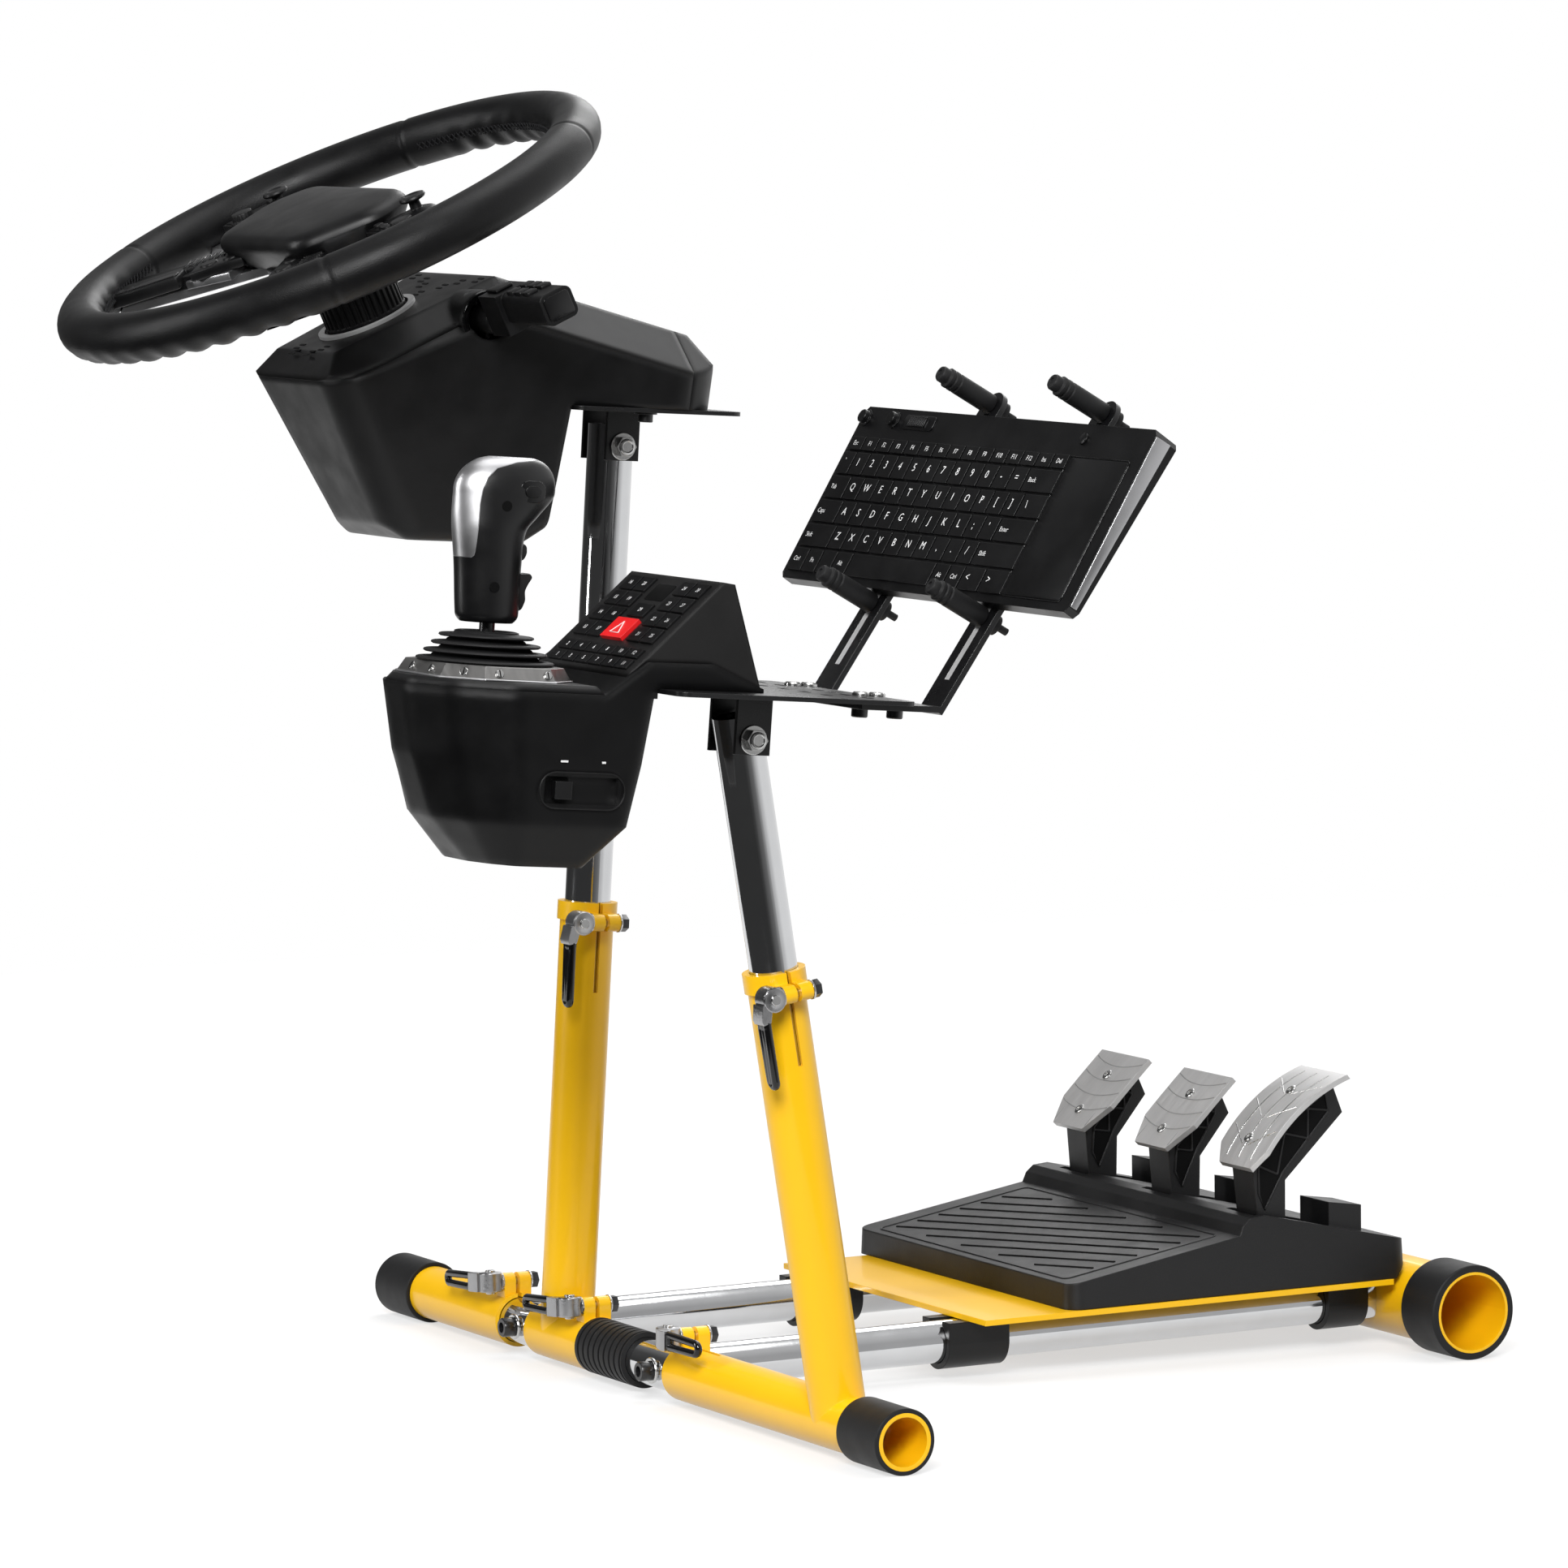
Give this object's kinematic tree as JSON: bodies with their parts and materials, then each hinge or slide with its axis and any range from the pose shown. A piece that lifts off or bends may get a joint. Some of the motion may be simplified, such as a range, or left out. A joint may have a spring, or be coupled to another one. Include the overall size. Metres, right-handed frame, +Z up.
{
  "type": "racing wheel stand",
  "caption": "Folding tube stand on a rubber-capped floor frame, carrying a steering wheel base, a shifter box with keyboard holder and a sliding pedal unit.",
  "frame": {"origin": "on the floor at the middle of the whole stand's box", "axes": "+X to the driver's right, +Y forward from the driver to the pedals, +Z up"},
  "size_m": [0.8676, 0.988, 0.8954],
  "materials": {
    "chrome": "polished",
    "yellow_coat": "gloss",
    "black_rubber": "matte",
    "gloss_black": "gloss",
    "black_coat": "satin",
    "zinc_steel": "zinc plated",
    "black_plastic": "fine grain",
    "grey_plastic": "satin",
    "wheel_leather": "smooth",
    "satin_metal": "satin",
    "red_plastic": "satin"
  },
  "bodies": {
    "frame": {"front_cross_tube": "chrome", "rail_left": "chrome", "rail_right": "chrome", "rear_tube": "yellow_coat", "rear_cap_left": "black_rubber", "rear_cap_right": "black_rubber", "grip_sleeve": "black_rubber"},
    "left_foot": {"left_foot_sleeve": "yellow_coat", "left_foot_cap": "black_rubber"},
    "left_foot_lever": {"left_foot_lever": "gloss_black"},
    "mast": {"mast_tube": "yellow_coat"},
    "mast_foot_lever": {"mast_foot_lever": "gloss_black"},
    "mast_lever": {"mast_lever": "gloss_black"},
    "mast_post": {"mast_post": "chrome"},
    "wheel_deck": {"wheel_deck": "black_coat", "wheel_deck_bolt": "zinc_steel", "wheel_base_shell": "black_plastic", "wheel_base_cover": "black_plastic", "wheel_base_rear_cap": "black_plastic", "column_ring": "grey_plastic"},
    "steering_wheel": {"wheel_column": "black_plastic", "wheel_rim": "wheel_leather", "wheel_spokes": "satin_metal", "wheel_hub_pad": "black_plastic", "wheel_button_pods": "black_plastic", "wheel_spoke_panels": "black_plastic"},
    "stalk": {"stalk": "black_plastic"},
    "side_leg": {"side_leg_tube": "yellow_coat", "side_leg_cap": "black_rubber"},
    "side_leg_foot_lever": {"side_leg_foot_lever": "gloss_black"},
    "side_leg_lever": {"side_leg_lever": "gloss_black"},
    "side_leg_post": {"side_leg_post": "chrome"},
    "shifter_deck": {"shifter_deck": "black_coat", "shifter_deck_bolt": "zinc_steel", "keyboard_holder": "black_coat", "holder_pegs": "black_rubber", "keyboard_case": "black_plastic", "keyboard_keys": "black_plastic", "shifter_box": "black_plastic", "shifter_console": "black_plastic", "console_keys": "black_plastic", "hazard_button": "red_plastic", "shifter_trim": "satin_metal", "shifter_top_plate": "black_plastic", "lever_boot": "black_rubber"},
    "mode_switch": {"mode_switch": "black_plastic"},
    "lever_gimbal": {"lever_gimbal": "zinc_steel"},
    "gear_lever": {"lever_knob": "black_plastic", "lever_spine": "satin_metal"},
    "pedal_deck": {"pedal_plate": "yellow_coat", "rail_clips": "black_plastic", "pedal_base": "black_plastic"},
    "clutch": {"clutch_arm": "black_plastic", "clutch_pad": "satin_metal"},
    "brake": {"brake_arm": "black_plastic", "brake_pad": "satin_metal"},
    "throttle": {"throttle_arm": "black_plastic", "throttle_pad": "satin_metal"}
  },
  "joints": [
    {"name": "left_foot_slide", "type": "slide", "parent": "frame", "child": "left_foot", "axis": [-1, 0, 0], "range_m": [0, 0.04]},
    {"name": "left_foot_clamp", "type": "hinge", "parent": "left_foot", "child": "left_foot_lever", "pos_m": [-0.24575, -0.14636, 0.0494], "axis": [-0.0698, 0, 0.9976], "range_deg": [0, 100]},
    {"name": "mast_fold", "type": "hinge", "parent": "frame", "child": "mast", "pos_m": [-0.16175, -0.12756, 0.0222], "axis": [-1, 0, 0], "range_deg": [-10, 40]},
    {"name": "mast_foot_clamp", "type": "hinge", "parent": "mast", "child": "mast_foot_lever", "pos_m": [-0.11875, -0.14636, 0.0494], "axis": [-0.0698, 0, 0.9976], "range_deg": [0, 100]},
    {"name": "mast_clamp", "type": "hinge", "parent": "mast", "child": "mast_lever", "pos_m": [-0.13455, -0.13104, 0.31678], "axis": [-1, 0, 0], "range_deg": [0, 100]},
    {"name": "mast_height", "type": "slide", "parent": "mast", "child": "mast_post", "axis": [0, 0.052, 0.9986], "range_m": [-0.14, 0.06]},
    {"name": "wheel_deck_tilt", "type": "hinge", "parent": "mast_post", "child": "wheel_deck", "pos_m": [-0.16175, -0.09496, 0.64835], "axis": [-1, 0, 0], "range_deg": [-15, 15]},
    {"name": "steering", "type": "hinge", "parent": "wheel_deck", "child": "steering_wheel", "pos_m": [-0.16175, -0.31083, 0.80268], "axis": [0, -0.4134, 0.9105], "range_deg": [-450, 450]},
    {"name": "stalk_lift", "type": "hinge", "parent": "wheel_deck", "child": "stalk", "pos_m": [-0.08775, -0.23134, 0.74077], "axis": [0, -0.4134, 0.9105], "range_deg": [-10, 10]},
    {"name": "side_leg_fold", "type": "hinge", "parent": "frame", "child": "side_leg", "pos_m": [0.24525, -0.12756, 0.0222], "axis": [-1, 0, 0], "range_deg": [-10, 40]},
    {"name": "side_leg_foot_clamp", "type": "hinge", "parent": "side_leg", "child": "side_leg_foot_lever", "pos_m": [0.03225, -0.14636, 0.0494], "axis": [0, 0, -1], "range_deg": [0, 100]},
    {"name": "side_leg_clamp", "type": "hinge", "parent": "side_leg", "child": "side_leg_lever", "pos_m": [0.27245, -0.19517, 0.30894], "axis": [-1, 0, 0], "range_deg": [0, 100]},
    {"name": "side_leg_height", "type": "slide", "parent": "side_leg", "child": "side_leg_post", "axis": [0, -0.1669, 0.986], "range_m": [-0.1, 0.1]},
    {"name": "shifter_deck_tilt", "type": "hinge", "parent": "side_leg_post", "child": "shifter_deck", "pos_m": [0.24525, -0.20468, 0.47772], "axis": [-1, 0, 0], "range_deg": [-15, 15]},
    {"name": "mode_switch_slide", "type": "slide", "parent": "shifter_deck", "child": "mode_switch", "axis": [0, 0.9976, -0.0698], "range_m": [0, 0.026]},
    {"name": "gear_gate", "type": "hinge", "parent": "shifter_deck", "child": "lever_gimbal", "pos_m": [0.24525, -0.38993, 0.50932], "axis": [0, 0.9976, -0.0698], "range_deg": [-6, 6], "deforming": ["lever_boot"]},
    {"name": "gear_throw", "type": "hinge", "parent": "lever_gimbal", "child": "gear_lever", "pos_m": [0.24525, -0.38993, 0.50932], "axis": [-1, 0, 0], "range_deg": [-8, 8], "deforming": ["lever_boot"]},
    {"name": "pedal_deck_slide", "type": "slide", "parent": "frame", "child": "pedal_deck", "axis": [0, -0.9998, -0.0201], "range_m": [0, 0.1]},
    {"name": "clutch_press", "type": "hinge", "parent": "pedal_deck", "child": "clutch", "pos_m": [-0.22265, 0.33944, 0.07699], "axis": [-1, 0, 0], "range_deg": [0, 18], "stiffness_Nm_per_rad": 12, "springref_deg": -8.59},
    {"name": "brake_press", "type": "hinge", "parent": "pedal_deck", "child": "brake", "pos_m": [-0.10365, 0.33944, 0.07699], "axis": [-1, 0, 0], "range_deg": [0, 18], "stiffness_Nm_per_rad": 20, "springref_deg": -8.59},
    {"name": "throttle_press", "type": "hinge", "parent": "pedal_deck", "child": "throttle", "pos_m": [0.01535, 0.33944, 0.07699], "axis": [-1, 0, 0], "range_deg": [0, 18], "stiffness_Nm_per_rad": 8, "springref_deg": -8.59}
  ]
}
